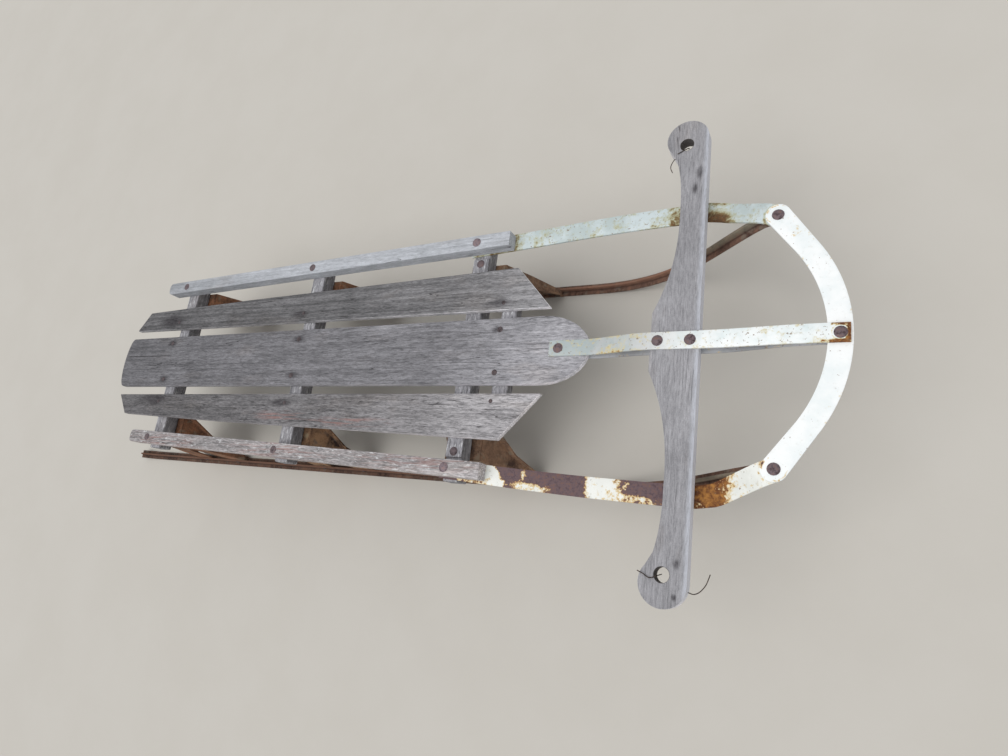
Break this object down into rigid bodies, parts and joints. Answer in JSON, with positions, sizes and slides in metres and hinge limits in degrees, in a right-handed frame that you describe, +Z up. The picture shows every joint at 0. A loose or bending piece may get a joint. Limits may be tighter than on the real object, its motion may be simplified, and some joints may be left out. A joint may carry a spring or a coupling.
{
  "type": "steerable wooden sled with steel runners",
  "caption": "Slatted wooden sled on steel runners, with side rails, a riveted steel bow and a wooden steering bar that bends the runners to steer.",
  "frame": {"origin": "on the ground under the middle of the sled's length", "axes": "+X forward to the bow, +Y to the rider's left, +Z up"},
  "size_m": [1.367, 0.5988, 0.1959],
  "materials": {
    "deck_wood": "weathered, matt",
    "bar_wood": "weathered, smooth",
    "white_paint": "chipped white paint over rust",
    "rusty_steel": "rusty",
    "rivet_steel": "rusty"
  },
  "bodies": {
    "chassis": {"centre_board": "deck_wood", "left_board": "deck_wood", "right_board": "deck_wood", "rear_bench": "deck_wood", "mid_bench": "deck_wood", "front_bench": "deck_wood", "front_cleat": "deck_wood", "left_rail": "deck_wood", "right_rail": "deck_wood", "left_rear_knee": "rusty_steel", "left_mid_knee": "rusty_steel", "left_front_knee": "rusty_steel", "right_rear_knee": "rusty_steel", "right_mid_knee": "rusty_steel", "right_front_knee": "rusty_steel", "left_runner": "rusty_steel", "right_runner": "rusty_steel", "left_rail_bolt": "rivet_steel", "right_rail_bolt": "rivet_steel", "nose_rivet": "rivet_steel"},
    "steering_arm": {"steering_bar": "bar_wood", "upper_centre_strap": "white_paint", "lower_centre_strap": "white_paint", "bar_rear_rivet": "rivet_steel", "bar_front_rivet": "rivet_steel", "bow_rivet": "rivet_steel"},
    "bow": {"bow": "white_paint"},
    "left_strap": {"left_side_strap": "white_paint", "left_joint_rivet": "rivet_steel"},
    "right_strap": {"right_side_strap": "white_paint", "right_joint_rivet": "rivet_steel"},
    "left_runner_front": {"left_runner_front": "rusty_steel"},
    "right_runner_front": {"right_runner_front": "rusty_steel"}
  },
  "joints": [
    {"name": "steering", "type": "hinge", "parent": "chassis", "child": "steering_arm", "pos_m": [0.3455, 0, 0.1695], "axis": [0, 0, 1], "range_deg": [-8, 8]},
    {"name": "bow_swivel", "type": "hinge", "parent": "steering_arm", "child": "bow", "pos_m": [0.6715, 0, 0.1885], "axis": [0, 0, 1], "range_deg": [-8.84, 8.84]},
    {"name": "left_strap_swivel", "type": "hinge", "parent": "chassis", "child": "left_strap", "pos_m": [0.202, 0.1645, 0.1565], "axis": [0, 0, 1], "range_deg": [-6.54, 6.54]},
    {"name": "right_strap_swivel", "type": "hinge", "parent": "chassis", "child": "right_strap", "pos_m": [0.202, -0.1645, 0.1565], "axis": [0, 0, 1], "range_deg": [-6.54, 6.54]},
    {"name": "left_runner_flex", "type": "hinge", "parent": "chassis", "child": "left_runner_front", "pos_m": [0.3065, 0.157, 0.006], "axis": [0, 0, 1], "range_deg": [-8.79, 8.79]},
    {"name": "right_runner_flex", "type": "hinge", "parent": "chassis", "child": "right_runner_front", "pos_m": [0.3065, -0.157, 0.006], "axis": [0, 0, 1], "range_deg": [-8.79, 8.79]}
  ],
  "couplings": [
    {"joint": "bow_swivel", "follows": "steering", "ratio": -1.1045},
    {"joint": "left_strap_swivel", "follows": "steering", "ratio": 0.8168},
    {"joint": "left_runner_flex", "follows": "steering", "ratio": 1.0988},
    {"joint": "right_strap_swivel", "follows": "steering", "ratio": 0.8168},
    {"joint": "right_runner_flex", "follows": "steering", "ratio": 1.0988}
  ]
}
